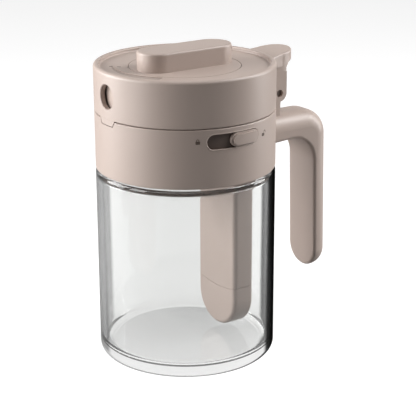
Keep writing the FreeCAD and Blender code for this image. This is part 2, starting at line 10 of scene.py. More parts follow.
import bmesh
import bpy
from bpy.props import FloatProperty, FloatVectorProperty, IntProperty, PointerProperty
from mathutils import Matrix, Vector


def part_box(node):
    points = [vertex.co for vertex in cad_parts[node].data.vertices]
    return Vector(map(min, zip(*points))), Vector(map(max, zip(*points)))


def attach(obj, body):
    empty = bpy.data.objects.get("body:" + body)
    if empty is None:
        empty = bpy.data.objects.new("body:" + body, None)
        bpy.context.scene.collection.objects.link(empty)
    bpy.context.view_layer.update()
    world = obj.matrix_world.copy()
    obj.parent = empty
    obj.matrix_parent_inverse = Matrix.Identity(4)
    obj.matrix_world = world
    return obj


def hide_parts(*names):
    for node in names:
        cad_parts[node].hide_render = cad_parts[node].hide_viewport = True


bl_info = {
    "name": "Seasoning Jar",
    "version": (1, 0, 0),
    "blender": (4, 5, 0),
    "location": "3D View > Sidebar > Jar",
    "description": "Builds the finish of a seasoning jar round its packed model, and its studio",
    "category": "Add Mesh",
}

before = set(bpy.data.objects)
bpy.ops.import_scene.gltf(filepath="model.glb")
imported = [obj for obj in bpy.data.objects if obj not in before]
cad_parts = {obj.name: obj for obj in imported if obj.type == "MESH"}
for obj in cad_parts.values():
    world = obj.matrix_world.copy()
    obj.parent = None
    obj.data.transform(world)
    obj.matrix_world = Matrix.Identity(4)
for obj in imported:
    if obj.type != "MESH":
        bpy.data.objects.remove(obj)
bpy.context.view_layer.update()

MM = 0.001
GLASS_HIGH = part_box("glass_jar")[1]
LID_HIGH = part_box("lid")[1]
DIAL_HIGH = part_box("dial")[1]
KNOB_HEIGHT = 9.2 * MM
LID_FLOOR = DIAL_HIGH.z - KNOB_HEIGHT
COLLAR_RADIUS = GLASS_HIGH.x

# how far a print or the slot's sheet of painted shadow reaches into what carries it, and how near two
# points are one
SINK = 0.05 * MM
WELD = 0.001 * MM

# middle of the lock slot, round the jar and up it
SLOT_TURN = math.radians(-91.6)
SLOT_HEIGHT = 118.1 * MM

# dashes beside the flow scale: name, inner and outer radius in mm, place round the jar in degrees
DASHES = (
    ("scale_dash_out", 34.6, 36.2, 150.2),
    ("scale_dash_in", 30.7, 32.5, 152.0),
)
DASH_HALF_TURN = math.radians(0.7)

# padlocks beside the slot: name, opened, place round the jar in degrees, height in mm
PADLOCKS = (
    ("padlock_closed", False, -116.0, 117.6),
    ("padlock_open", True, -67.4, 116.3),
)

# soft boxes: name, degrees to the right of the camera, distance, height over the jar's middle,
# width, length
SOFT_BOXES = (
    ("key", -96, 0.75, 0.15, 0.45, 0.7),
    ("edge", 105, 0.75, 0.15, 0.3, 0.7),
    ("fill", -60, 0.75, 0.15, 0.3, 0.7),
    ("high", 90, 0.6, 0.6, 0.4, 0.4),
    ("top", 180, 0.05, 0.8, 0.5, 0.5),
)

# the glass: what it lets through to lamps, the painted black of its edge at the handle's side, its flat
# underside
LAMP_TINT = (0.94, 0.94, 0.94)
PAINTED_EDGE_BLACK = (0.002, 0.002, 0.002, 1)
UNDERSIDE = 0.02 * MM

# the stage: half the floor's side, the gap under the jar, the paper's colour, the white in reflections
FLOOR_REACH = 4.0
FLOOR_GAP = 0.05 * MM
PAPER = (0.3, 0.3, 0.3, 1)
MIRRORED_WHITE = 0.5

# CAD nodes that keep their meshes, by the moulding that each belongs to
HEAD_NODES = ("collar", "lid", "dial", "lock_slider")
INNER_NODES = ("mouth_plate", "inner_column", "column_cap", "shutter_drum")


# ---------------------------------------------------------------- sizes and colours
class JarGlassSettings(bpy.types.PropertyGroup):
    """Sizes and tint of the glass jar, and the painted light and shade on its glass."""
    outer_radius: FloatProperty(
        name="Outer Radius", description="Outside of the glass wall",
        default=GLASS_HIGH.x, min=0.01, unit="LENGTH")
    wall: FloatProperty(
        name="Wall", description="Thickness of the glass wall", default=3 * MM, min=0.0005,
        unit="LENGTH")
    base: FloatProperty(
        name="Base", description="Thickness of the jar's floor", default=4.8 * MM, min=0.0005,
        unit="LENGTH")
    heel_round: FloatProperty(
        name="Heel Radius", description="Outer corner between wall and base", default=4 * MM,
        unit="LENGTH")
    floor_round: FloatProperty(
        name="Floor Radius", description="Inner corner between wall and floor",
        default=4.5 * MM, unit="LENGTH")
    shoulder_height: FloatProperty(
        name="Shoulder Height", description="Height at which the body ends",
        default=95.8 * MM, unit="LENGTH")
    shoulder_round: FloatProperty(
        name="Shoulder Radius", description="Outer corner of the shoulder", default=2.4 * MM,
        unit="LENGTH")
    shoulder_fall: FloatProperty(
        name="Shoulder Fall", description="Height over which the bore opens out below the shoulder",
        default=3.6 * MM, unit="LENGTH")
    neck_radius: FloatProperty(
        name="Neck Radius", description="Outside of the neck", default=39.4 * MM, unit="LENGTH")
    neck_top: FloatProperty(
        name="Neck Top", description="Height of the jar's lip", default=GLASS_HIGH.z, unit="LENGTH")
    lip_round: FloatProperty(
        name="Lip Radius", description="Rounded edges of the lip", default=0.8 * MM, unit="LENGTH")
    segments: IntProperty(
        name="Segments", description="Faces round the jar", default=160, min=24, max=512)
    tint: FloatVectorProperty(
        name="Tint", description="Glass seen straight through a wall", subtype="COLOR",
        default=(0.81, 0.815, 0.81), min=0, max=1)
    # painted light and shade: the flank tint makes the glass lighter where the wall turns away, and the
    # edge, handle edge and heel tints paint it dark where it is seen along the wall: near black at the
    # handle's side, grey at the heel on the spout's side
    flank_tint: FloatVectorProperty(
        name="Flank Tint", description="Glass where the wall starts to turn away", subtype="COLOR",
        default=(0.91, 0.915, 0.91), min=0, max=1)
    edge_tint: FloatVectorProperty(
        name="Edge Tint", description="Glass seen along its wall, at the spout's side", subtype="COLOR",
        default=(0.16, 0.16, 0.16), min=0, max=1)
    handle_edge_tint: FloatVectorProperty(
        name="Handle Edge Tint", description="Glass seen along its wall, at the handle's side",
        subtype="COLOR", default=(0.0005, 0.0005, 0.0005), min=0, max=1)
    heel_tint: FloatVectorProperty(
        name="Heel Tint", description="Glass of the rounded heel, at the spout's side", subtype="COLOR",
        default=(0.5, 0.5, 0.5), min=0, max=1)
    foot_tint: FloatVectorProperty(
        name="Foot Tint", description="Light that the flat underside lets through to the table",
        subtype="COLOR", default=(0.86, 0.86, 0.86), min=0, max=1)
    edge_start: FloatProperty(
        name="Edge Start", description="Turn of the wall at which the edge tint sets in",
        default=0.56, min=0, max=1)
    edge_full: FloatProperty(
        name="Edge Full", description="Turn of the wall at which the edge tint is full",
        default=0.66, min=0, max=1)


class JarPlasticSettings(bpy.types.PropertyGroup):
    """Colours and texture of the mouldings, with the painted shadow on the lock slot's floor and the
    painted shade of the hinge pin.
    """
    colour: FloatVectorProperty(
        name="Colour", description="Warm grey beige of the mouldings", subtype="COLOR",
        default=(0.445, 0.36, 0.317), min=0, max=1)
    mark_colour: FloatVectorProperty(
        name="Mark Colour", description="Printed scale and padlocks", subtype="COLOR",
        default=(0.10, 0.07, 0.055), min=0, max=1)
    # painted shadow: the colour of the sheet that darkens the lock slot's floor
    slot_colour: FloatVectorProperty(
        name="Slot Colour", description="Floor of the lock slot", subtype="COLOR",
        default=(0.11, 0.08, 0.066), min=0, max=1)
    # partly painted shade: the pin's colour is darkened for the hole that it sits back in
    pin_colour: FloatVectorProperty(
        name="Pin Colour", description="Steel of the hinge pin", subtype="COLOR",
        default=(0.22, 0.18, 0.16), min=0, max=1)
    grain: FloatProperty(
        name="Grain", description="Size of the fine mould texture", default=0.35 * MM, unit="LENGTH")
    grain_depth: FloatProperty(
        name="Grain Depth", description="Depth of the fine mould texture",
        default=0.006 * MM, unit="LENGTH")


class JarMarkSettings(bpy.types.PropertyGroup):
    """Sizes of the flow scale on the lid, and of the lock slot and the padlocks beside it."""
    scale_start: FloatProperty(
        name="Scale Start", description="Thin end of the flow scale, round the jar",
        default=math.radians(148), subtype="ANGLE")
    scale_end: FloatProperty(
        name="Scale End", description="Wide end of the flow scale, round the jar",
        default=math.radians(216), subtype="ANGLE")
    scale_radius: FloatProperty(
        name="Scale Radius", description="Outer edge of the flow scale", default=35.2 * MM,
        unit="LENGTH")
    scale_tip: FloatProperty(
        name="Scale Tip", description="Width of the flow scale at its thin end", default=0.3 * MM,
        unit="LENGTH")
    scale_width: FloatProperty(
        name="Scale Width", description="Width of the flow scale at its wide end",
        default=5.4 * MM, unit="LENGTH")
    ridge_width: FloatProperty(
        name="Ridge Width", description="Raised line along the scale", default=0.55 * MM, unit="LENGTH")
    ridge_height: FloatProperty(
        name="Ridge Height", description="Rise of the raised line", default=0.3 * MM, unit="LENGTH")
    print_height: FloatProperty(
        name="Print Height", description="Thickness of printed marks", default=0.04 * MM, unit="LENGTH")
    slot_length: FloatProperty(
        name="Slot Length", description="Lock slot, along the collar", default=28.8 * MM, unit="LENGTH")
    slot_width: FloatProperty(
        name="Slot Width", description="Lock slot, up the collar", default=7.4 * MM, unit="LENGTH")
    slot_depth: FloatProperty(
        name="Slot Depth", description="Recess of the lock slot", default=1.4 * MM, unit="LENGTH")
    slot_bead: FloatProperty(
        name="Slot Bead", description="Radius of the rounded bead round the slot",
        default=0.28 * MM, unit="LENGTH")
    padlock_width: FloatProperty(
        name="Padlock Width", description="Width of a padlock's body", default=2.1 * MM, unit="LENGTH")


class JarStudioSettings(bpy.types.PropertyGroup):
    """Camera and lamps."""
    camera_place: FloatVectorProperty(
        name="Camera", description="Place of the camera", subtype="TRANSLATION",
        default=(-0.3459, -0.5266, 0.2839))
    camera_target: FloatVectorProperty(
        name="Target", description="Point the camera looks at", subtype="TRANSLATION",
        default=(0.00134, -0.01742, 0.07723))
    camera_roll: FloatProperty(
        name="Roll", description="Turn of the camera about its view", default=math.radians(-0.17),
        subtype="ANGLE")
    lens: FloatProperty(
        name="Lens", description="Focal length in millimetres", default=115.76, min=10)
    key_power: FloatProperty(name="Key", description="Power of the left soft box", default=10.0, min=0)
    edge_power: FloatProperty(
        name="Edge", description="Power of the right soft box", default=4.3, min=0)
    fill_power: FloatProperty(
        name="Fill", description="Power of the small soft box at the front left", default=3.8, min=0)
    high_power: FloatProperty(
        name="High", description="Power of the soft box high on the right", default=4.6, min=0)
    top_power: FloatProperty(
        name="Top", description="Power of the overhead soft box", default=1.35, min=0)
    paper_glow: FloatProperty(
        name="Paper Glow", description="How far the floor shows white of its own", default=0.84, min=0)


# ---------------------------------------------------------------- node helpers
def link(tree, source, target):
    """Joins two sockets."""
    tree.links.new(source, target)


def node(tree, kind, **settings):
    """A node of that kind with its properties set."""
    made = tree.nodes.new(kind)
    for name, value in settings.items():
        setattr(made, name, value)
    return made


def feed(tree, made, **inputs):
    """Sets or links a node's inputs; a socket's name is written with _ for its spaces."""
    for name, value in inputs.items():
        socket = made.inputs[name.replace("_", " ")]
        if isinstance(value, bpy.types.NodeSocket):
            tree.links.new(value, socket)
        else:
            socket.default_value = value
    return made


def calc(tree, operation, *terms):
    """A math node's result. Each term is a socket or a number."""
    made = node(tree, "ShaderNodeMath", operation=operation)
    for socket, term in zip(made.inputs, terms):
        if isinstance(term, bpy.types.NodeSocket):
            tree.links.new(term, socket)
        else:
            socket.default_value = term
    return made.outputs[0]


def ramp(tree, value, low, high):
    """A smooth 0 to 1 as the value goes from low to high."""
    made = node(tree, "ShaderNodeMapRange", interpolation_type="SMOOTHSTEP")
    feed(tree, made, Value=value, From_Min=low, From_Max=high)
    return made.outputs["Result"]


def mixed(tree, share, first, second):
    """A mix of two colours, each a socket or three numbers."""
    made = node(tree, "ShaderNodeMix", data_type="RGBA")
    link(tree, share, made.inputs["Factor"])
    for name, colour in (("A", first), ("B", second)):
        socket = made.inputs[name]
        if isinstance(colour, bpy.types.NodeSocket):
            tree.links.new(colour, socket)
        else:
            socket.default_value = (*colour, 1)
    return made.outputs["Result"]


def between(tree, share, low, high):
    """The value at that share of the way from low to high."""
    return calc(tree, "MULTIPLY_ADD", share, calc(tree, "SUBTRACT", high, low), low)


def new_group(name, kind, inputs, outputs):
    """A node group with named sockets: inputs are (name, socket type, default)."""
    tree = bpy.data.node_groups.new(name, kind)
    for label, socket_type, default in inputs:
        socket = tree.interface.new_socket(name=label, in_out="INPUT", socket_type=socket_type)
        if default is not None:
            socket.default_value = default
    for label, socket_type in outputs:
        tree.interface.new_socket(name=label, in_out="OUTPUT", socket_type=socket_type)
    return tree, tree.nodes.new("NodeGroupInput").outputs, tree.nodes.new("NodeGroupOutput")


def set_input(modifier, label, value):
    """A modifier's input, found by its socket's identifier."""
    for item in modifier.node_group.interface.items_tree:
        if item.item_type == "SOCKET" and item.in_out == "INPUT" and item.name == label:
            modifier[item.identifier] = value
            return
    raise RuntimeError(f"{modifier.node_group.name} has no input {label}")


def finished_with(tree, geometry, material, out):
    """Ends a tree in real geometry that has its material."""
    realize = node(tree, "GeometryNodeRealizeInstances")
    link(tree, geometry, realize.inputs[0])
    paint = node(tree, "GeometryNodeSetMaterial")
    feed(tree, paint, Geometry=realize.outputs[0], Material=material)
    link(tree, paint.outputs[0], out.inputs["Geometry"])


def grown(name, tree, inputs):
    """The mesh that a Geometry Nodes tree makes, as a plain object."""
    seed = bpy.data.objects.new(f"{name}_seed", bpy.data.meshes.new(f"{name}_seed"))
    bpy.context.scene.collection.objects.link(seed)
    modifier = seed.modifiers.new(name, "NODES")
    modifier.node_group = tree
    for label, value in inputs.items():
        set_input(modifier, label, value)
    bpy.context.view_layer.update()
    mesh = bpy.data.meshes.new_from_object(seed.evaluated_get(bpy.context.evaluated_depsgraph_get()))
    mesh.name = name
    seed.modifiers.remove(modifier)
    bpy.data.objects.remove(seed)
    piece = bpy.data.objects.new(name, mesh)
    bpy.context.scene.collection.objects.link(piece)
    if not mesh.polygons:
        raise RuntimeError(f"{name}: the tree made no faces")
    return piece


# ---------------------------------------------------------------- shared shader effects
def grain_group():
    """Fine surface texture: a height, a roughness and a slow colour variation over the surface."""
    found = bpy.data.node_groups.get("fine_grain")
    if found:
        return found
    tree, given, out = new_group("fine_grain", "ShaderNodeTree", (
        ("Grain Size", "NodeSocketFloat", 0.35 * MM),
        ("Cloud Size", "NodeSocketFloat", 18 * MM),
        ("Roughness", "NodeSocketFloat", 0.5),
        ("Roughness Spread", "NodeSocketFloat", 0.06),
    ), (
        ("Height", "NodeSocketFloat"), ("Roughness", "NodeSocketFloat"), ("Cloud", "NodeSocketFloat"),
    ))
    place = node(tree, "ShaderNodeTexCoord").outputs["Object"]
    fine = node(tree, "ShaderNodeTexNoise")
    feed(tree, fine, Vector=place, Scale=calc(tree, "DIVIDE", 1.0, given["Grain Size"]),
         Detail=2.0, Roughness=0.6)
    slow = node(tree, "ShaderNodeTexNoise")
    feed(tree, slow, Vector=place, Scale=calc(tree, "DIVIDE", 1.0, given["Cloud Size"]),
         Detail=4.0, Roughness=0.55)
    spread = calc(tree, "SUBTRACT", slow.outputs["Fac"], 0.5)
    rough = calc(tree, "MULTIPLY_ADD", spread, given["Roughness Spread"], given["Roughness"])
    link(tree, fine.outputs["Fac"], out.inputs["Height"])
    link(tree, rough, out.inputs["Roughness"])
    link(tree, slow.outputs["Fac"], out.inputs["Cloud"])
    return tree


def new_material(name):
    """A material with its tree and its empty Principled shader."""
    material = bpy.data.materials.new(name)
    material.use_nodes = True
    tree = material.node_tree
    tree.nodes.clear()
    shader = tree.nodes.new("ShaderNodeBsdfPrincipled")
    out = tree.nodes.new("ShaderNodeOutputMaterial")
    link(tree, shader.outputs[0], out.inputs["Surface"])
    return material, tree, shader


def grained(tree, shader, grain_size, cloud_size, roughness, spread, depth):
    """Puts the shared texture on a shader's roughness and normal, and returns its colour mask."""
    group = node(tree, "ShaderNodeGroup", node_tree=grain_group())
    feed(tree, group, Grain_Size=grain_size, Cloud_Size=cloud_size, Roughness=roughness,
         Roughness_Spread=spread)
    bump = node(tree, "ShaderNodeBump")
    feed(tree, bump, Height=group.outputs["Height"], Strength=1.0, Distance=depth)
    feed(tree, shader, Roughness=group.outputs["Roughness"], Normal=bump.outputs[0])
    return group.outputs["Cloud"]


def textured(name, colour, shades, *texture):
    """A material with the shared texture, whose colour drifts between two shades with the mask."""
    material, tree, shader = new_material(name)
    cloud = grained(tree, shader, *texture)
    darker, lighter = ([part * shade for part in colour] for shade in shades)
    link(tree, mixed(tree, cloud, darker, lighter), shader.inputs["Base Color"])
    return material, shader


# ---------------------------------------------------------------- materials
def matte_plastic(name, roughness, specular):
    """Moulded plastic with a fine spark-eroded texture."""
    look = bpy.context.scene.jar_plastic
    material, shader = textured(name, look.colour, (0.97, 1.03), look.grain, 22 * MM, roughness, 0.08,
                                look.grain_depth)
    shader.inputs["Specular IOR Level"].default_value = specular
    return material


def steel():
    """Turned steel of the hinge pin, darkened as painted shade for the hole that it sits back in."""
    look = bpy.context.scene.jar_plastic
    material, shader = textured("turned_steel", look.pin_colour, (0.9, 1.08), 0.12 * MM, 2 * MM, 0.38, 0.2,
                                0.004 * MM)
    shader.inputs["Metallic"].default_value = 1.0
    return material


def scale_tone():
    """Painted shade: a darker tone of the plastic inside the flow scale, standing in for the shaded floor
    of the groove along the lid's rim.
    """
    look = bpy.context.scene.jar_plastic
    return textured("scale_tone", look.colour, (0.74, 0.8), look.grain, 6 * MM, 0.55, 0.1,
                    look.grain_depth)[0]


def slot_shadow():
    """Painted shadow on the floor of the lock slot."""
    look = bpy.context.scene.jar_plastic
    return textured("slot_shadow", look.slot_colour, (0.9, 1.1), look.grain, 5 * MM, 0.6, 0.1,
                    look.grain_depth)[0]


def mark_ink():
    """Matt print of the dashes and the padlocks, made once."""
    found = bpy.data.materials.get("mark_ink")
    if found:
        return found
    look = bpy.context.scene.jar_plastic
    return textured("mark_ink", look.mark_colour, (0.85, 1.15), 0.2 * MM, 1.5 * MM, 0.6, 0.1,
                    0.003 * MM)[0]


def glass_colour(tree, look, turned, place):
    """Tint of the glass, clear through the wall, with painted light where the wall turns away and painted
    shade along it: darkest at the handle's side, lighter at the heel on the spout's side.
    """
    radius, heel = look.outer_radius, look.heel_round
    handle_side = ramp(tree, place["X"], -radius, radius)
    above_heel = ramp(tree, place["Z"], heel * 0.9, heel * 1.3)
    dark_heel = ramp(tree, place["X"], -0.5 * radius, 0.3 * radius)
    # painted light on the flanks of the wall, then painted shade where the wall is seen edge on
    wall = mixed(tree, ramp(tree, turned, 0.0, 0.45), look.tint, look.flank_tint)
    edge = mixed(tree, handle_side, look.edge_tint, look.handle_edge_tint)
    edge = mixed(tree, calc(tree, "MAXIMUM", above_heel, dark_heel), look.heel_tint, edge)
    return mixed(tree, ramp(tree, turned, look.edge_start, look.edge_full), wall, edge)


def blended(tree, share, first, second):
    """One shader's output giving way to another's."""
    blend = node(tree, "ShaderNodeMixShader")
    for source, target in zip((share, first, second), blend.inputs):
        link(tree, source, target)
    return blend.outputs[0]


def clear_glass():
    """Pressed glass with a faint ripple, with painted shade where it is seen along the wall and painted
    black at the handle's side; lamps shine through.
    """
    look = bpy.context.scene.jar_glass
    material, tree, shader = new_material("clear_glass")
    grained(tree, shader, 14 * MM, 40 * MM, 0.0, 0.0, 0.012 * MM)
    weight = node(tree, "ShaderNodeLayerWeight")
    weight.inputs["Blend"].default_value = 0.5
    turned = weight.outputs["Facing"]
    split = node(tree, "ShaderNodeSeparateXYZ")
    link(tree, node(tree, "ShaderNodeTexCoord").outputs["Object"], split.inputs[0])
    place = split.outputs
    link(tree, glass_colour(tree, look, turned, place), shader.inputs["Base Color"])
    shader.inputs["Transmission Weight"].default_value = 1.0
    shader.inputs["IOR"].default_value = 1.5

    # painted shade: the wall seen edge on at the handle's side is blended to a black diffuse, standing in
    # for the dark that it shows there
    painted_black = node(tree, "ShaderNodeBsdfDiffuse")
    painted_black.inputs["Color"].default_value = PAINTED_EDGE_BLACK
    near_handle = ramp(tree, place["X"], 0.0, 0.7 * look.outer_radius)
    edge_on = ramp(tree, turned, look.edge_start + 0.03, look.edge_full + 0.02)
    painted_black_share = calc(tree, "MULTIPLY", edge_on, near_handle)
    body = blended(tree, painted_black_share, shader.outputs[0], painted_black.outputs[0])

    # lamps, soft bounces and the flat underside go straight through
    path = node(tree, "ShaderNodeLightPath")
    clear = node(tree, "ShaderNodeBsdfTransparent")
    underside = calc(tree, "LESS_THAN", place["Z"], UNDERSIDE)
    link(tree, mixed(tree, underside, LAMP_TINT, look.foot_tint), clear.inputs["Color"])
    through = calc(tree, "MAXIMUM", path.outputs["Is Shadow Ray"], path.outputs["Is Diffuse Ray"])
    through = calc(tree, "MAXIMUM", through, underside)
    out = next(found for found in tree.nodes if found.type == "OUTPUT_MATERIAL")
    link(tree, blended(tree, through, body, clear.outputs[0]), out.inputs["Surface"])
    return material


# ---------------------------------------------------------------- glass jar
def turned_tree(material):
    """Geometry Nodes tree that turns the jar's rounded profile round Z."""
    floats = ("Outer Radius", "Wall", "Base", "Heel Radius", "Floor Radius", "Shoulder Height",
              "Shoulder Radius", "Shoulder Fall", "Neck Radius", "Neck Top", "Lip Radius")
    inputs = [(label, "NodeSocketFloat", 0.0) for label in floats]
    inputs.append(("Segments", "NodeSocketInt", 64))
    tree, given, out = new_group("turned_jar", "GeometryNodeTree", inputs,
                                 [("Geometry", "NodeSocketGeometry")])
    bore = calc(tree, "SUBTRACT", given["Outer Radius"], given["Wall"])
    throat = calc(tree, "SUBTRACT", given["Neck Radius"], given["Wall"])
    throat_foot = calc(tree, "MULTIPLY_ADD", given["Wall"], -0.5, given["Shoulder Height"])
    bore_top = calc(tree, "SUBTRACT", given["Shoulder Height"], given["Shoulder Fall"])
    bend = calc(tree, "MULTIPLY", given["Wall"], 0.5)
    # each corner of the profile: radius, height, rounding
    corners = (
        (0.0, 0.0, 0.0),
        (given["Outer Radius"], 0.0, given["Heel Radius"]),
        (given["Outer Radius"], given["Shoulder Height"], given["Shoulder Radius"]),
        (given["Neck Radius"], given["Shoulder Height"], 0.3 * MM),
        (given["Neck Radius"], given["Neck Top"], given["Lip Radius"]),
        (throat, given["Neck Top"], given["Lip Radius"]),
        (throat, throat_foot, bend),
        (bore, bore_top, bend),
        (bore, given["Base"], given["Floor Radius"]),
        (0.0, given["Base"], 0.0),
    )
    index = node(tree, "GeometryNodeInputIndex").outputs[0]

    def by_corner(data_type, values):
        switch = node(tree, "GeometryNodeIndexSwitch", data_type=data_type)
        while len(switch.index_switch_items) < len(values):
            switch.index_switch_items.new()
        link(tree, index, switch.inputs["Index"])
        for number, value in enumerate(values):
            feed(tree, switch, **{str(number): value})
        return switch.outputs[0]

    places = []
    for radius, height, _ in corners:
        place = node(tree, "ShaderNodeCombineXYZ")
        feed(tree, place, X=radius, Z=height)
        places.append(place.outputs[0])
    line = node(tree, "GeometryNodeMeshLine")
    line.inputs["Count"].default_value = len(corners)
    moved = node(tree, "GeometryNodeSetPosition")
    feed(tree, moved, Geometry=line.outputs[0], Position=by_corner("VECTOR", places))
    curve = node(tree, "GeometryNodeMeshToCurve")
    feed(tree, curve, Mesh=moved.outputs[0])
    rounded = node(tree, "GeometryNodeFilletCurve", mode="POLY")
    feed(tree, rounded, Curve=curve.outputs[0], Count=8, Limit_Radius=True,
         Radius=by_corner("FLOAT", [corner[2] for corner in corners]))
    profile = rounded.outputs[0]

    # a grid with one row of points for each step round the jar, bent into rings
    count = node(tree, "GeometryNodeAttributeDomainSize", component="CURVE")
    link(tree, profile, count.inputs[0])
    points = count.outputs["Point Count"]
    grid = node(tree, "GeometryNodeMeshGrid")
    feed(tree, grid, Vertices_X=calc(tree, "ADD", given["Segments"], 1.0), Vertices_Y=points)
    step = calc(tree, "FLOOR", calc(tree, "DIVIDE", calc(tree, "ADD", index, 0.5), points))
    at_point = calc(tree, "SUBTRACT", index, calc(tree, "MULTIPLY", step, points))
    sample = node(tree, "GeometryNodeSampleIndex", data_type="FLOAT_VECTOR", domain="POINT")
    feed(tree, sample, Geometry=profile, Index=at_point,
         Value=node(tree, "GeometryNodeInputPosition").outputs[0])
    split = node(tree, "ShaderNodeSeparateXYZ")
    link(tree, sample.outputs[0], split.inputs[0])
    angle = calc(tree, "DIVIDE", calc(tree, "MULTIPLY", step, math.tau), given["Segments"])
    ring = node(tree, "ShaderNodeCombineXYZ")
    feed(tree, ring, X=calc(tree, "MULTIPLY", split.outputs["X"], calc(tree, "COSINE", angle)),
         Y=calc(tree, "MULTIPLY", split.outputs["X"], calc(tree, "SINE", angle)),
         Z=split.outputs["Z"])
    turned = node(tree, "GeometryNodeSetPosition")
    feed(tree, turned, Geometry=grid.outputs["Mesh"], Position=ring.outputs[0])
    closed = node(tree, "GeometryNodeMergeByDistance")
    feed(tree, closed, Geometry=turned.outputs[0], Distance=WELD)
    smooth = node(tree, "GeometryNodeSetShadeSmooth")
    link(tree, closed.outputs[0], smooth.inputs[0])
    finished_with(tree, smooth.outputs[0], material, out)
    return tree


class JAR_OT_glass(bpy.types.Operator):
    """Turn the glass jar and give it its glass"""
    bl_idname = "jar.glass"
    bl_label = "Glass Jar"

    def execute(self, context):
        size = context.scene.jar_glass
        glass = grown("glass_body", turned_tree(clear_glass()), {
            "Outer Radius": size.outer_radius, "Wall": size.wall, "Base": size.base,
            "Heel Radius": size.heel_round, "Floor Radius": size.floor_round,
            "Shoulder Height": size.shoulder_height, "Shoulder Radius": size.shoulder_round,
            "Shoulder Fall": size.shoulder_fall, "Neck Radius": size.neck_radius,
            "Neck Top": size.neck_top, "Lip Radius": size.lip_round, "Segments": size.segments,
        })
        even = glass.modifiers.new("even_normals", "WEIGHTED_NORMAL")
        even.weight = 100
        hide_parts("glass_jar")
        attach(glass, "jar")
        return {"FINISHED"}


# ---------------------------------------------------------------- mouldings
def finish(node_name, material):
    """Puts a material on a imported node."""
    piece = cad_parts[node_name]
    piece.data.materials.clear()
    piece.data.materials.append(material)


class JAR_OT_mouldings(bpy.types.Operator):
    """Give the head, the handle and the inner parts their moulded plastic"""
    bl_idname = "jar.mouldings"
    bl_label = "Mouldings"

    def execute(self, context):
        head = matte_plastic("head_plastic", 0.4, 0.6)
        inner = matte_plastic("inner_plastic", 0.4, 0.3)
        for name in HEAD_NODES:
            finish(name, head)
        for name in INNER_NODES:
            finish(name, inner)
        finish("hinge_pin", steel())
        return {"FINISHED"}


# ---------------------------------------------------------------- marks
def band_tree(material):
    """Geometry Nodes tree for a flat band that follows an arc on the lid's floor."""
    inputs = [(label, "NodeSocketFloat", 0.0) for label in (
        "Start", "End", "Start Inner", "End Inner", "Start Outer", "End Outer", "Foot", "Height")]
    inputs.append(("Steps", "NodeSocketInt", 48))
    tree, given, out = new_group("arc_band", "GeometryNodeTree", inputs,
                                 [("Geometry", "NodeSocketGeometry")])
    grid = node(tree, "GeometryNodeMeshGrid")
    feed(tree, grid, Vertices_X=calc(tree, "ADD", given["Steps"], 1.0))
    grid.inputs["Vertices Y"].default_value = 2
    index = node(tree, "GeometryNodeInputIndex").outputs[0]
    step = calc(tree, "FLOOR", calc(tree, "DIVIDE", calc(tree, "ADD", index, 0.5), 2.0))
    side = calc(tree, "SUBTRACT", index, calc(tree, "MULTIPLY", step, 2.0))
    share = calc(tree, "DIVIDE", step, given["Steps"])
    inner = between(tree, share, given["Start Inner"], given["End Inner"])
    outer = between(tree, share, given["Start Outer"], given["End Outer"])
    radius = between(tree, side, outer, inner)
    angle = between(tree, share, given["Start"], given["End"])
    place = node(tree, "ShaderNodeCombineXYZ")
    feed(tree, place, X=calc(tree, "MULTIPLY", radius, calc(tree, "COSINE", angle)),
         Y=calc(tree, "MULTIPLY", radius, calc(tree, "SINE", angle)), Z=given["Foot"])
    bent = node(tree, "GeometryNodeSetPosition")
    feed(tree, bent, Geometry=grid.outputs["Mesh"], Position=place.outputs[0])
    raised = node(tree, "GeometryNodeExtrudeMesh")
    up = node(tree, "ShaderNodeCombineXYZ")
    feed(tree, up, Z=given["Height"])
    feed(tree, raised, Mesh=bent.outputs[0], Offset=up.outputs[0], Individual=False)
    under = node(tree, "GeometryNodeFlipFaces")
    feed(tree, under, Mesh=bent.outputs[0])
    joined = node(tree, "GeometryNodeJoinGeometry")
    link(tree, raised.outputs["Mesh"], joined.inputs[0])
    link(tree, under.outputs[0], joined.inputs[0])
    closed = node(tree, "GeometryNodeMergeByDistance")
    feed(tree, closed, Geometry=joined.outputs[0], Distance=WELD)
    finished_with(tree, closed.outputs[0], material, out)
    return tree


def arc_band(name, tree, start, end, inner, outer, height, steps=48):
    """A band on the lid's floor; inner and outer give the radius at the band's two ends."""
    piece = grown(name, tree, {
        "Start": start, "End": end, "Start Inner": inner[0], "End Inner": inner[1],
        "Start Outer": outer[0], "End Outer": outer[1], "Foot": LID_FLOOR - SINK,
        "Height": height + SINK, "Steps": steps,
    })
    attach(piece, "lid")
    return piece


class JAR_OT_scale(bpy.types.Operator):
    """Lay the flow scale, as a wedge of painted shade with a raised line along it, and its two dashes on
    the lid's floor
    """
    bl_idname = "jar.scale"
    bl_label = "Flow Scale"

    def execute(self, context):
        size = context.scene.jar_marks
        start, end, rim = size.scale_start, size.scale_end, size.scale_radius
        waist = rim - size.scale_tip
        foot = rim - size.scale_width
        # painted shade: the wedge darkens the lid's floor where the groove's floor lies in shade
        groove_shade_tree = band_tree(scale_tone())
        arc_band("scale_wedge", groove_shade_tree, start, end, (waist, foot), (rim, rim), size.print_height)
        ridge = band_tree(matte_plastic("ridge_plastic", 0.45, 0.35))
        arc_band("scale_ridge", ridge, start, end, (waist - size.ridge_width, foot - size.ridge_width),
                 (waist, foot), size.ridge_height)
        ink = band_tree(mark_ink())
        for name, inner, outer, degrees in DASHES:
            middle = math.radians(degrees)
            arc_band(name, ink, middle - DASH_HALF_TURN, middle + DASH_HALF_TURN,
                     (inner * MM, inner * MM), (outer * MM, outer * MM), size.print_height, steps=4)
        return {"FINISHED"}


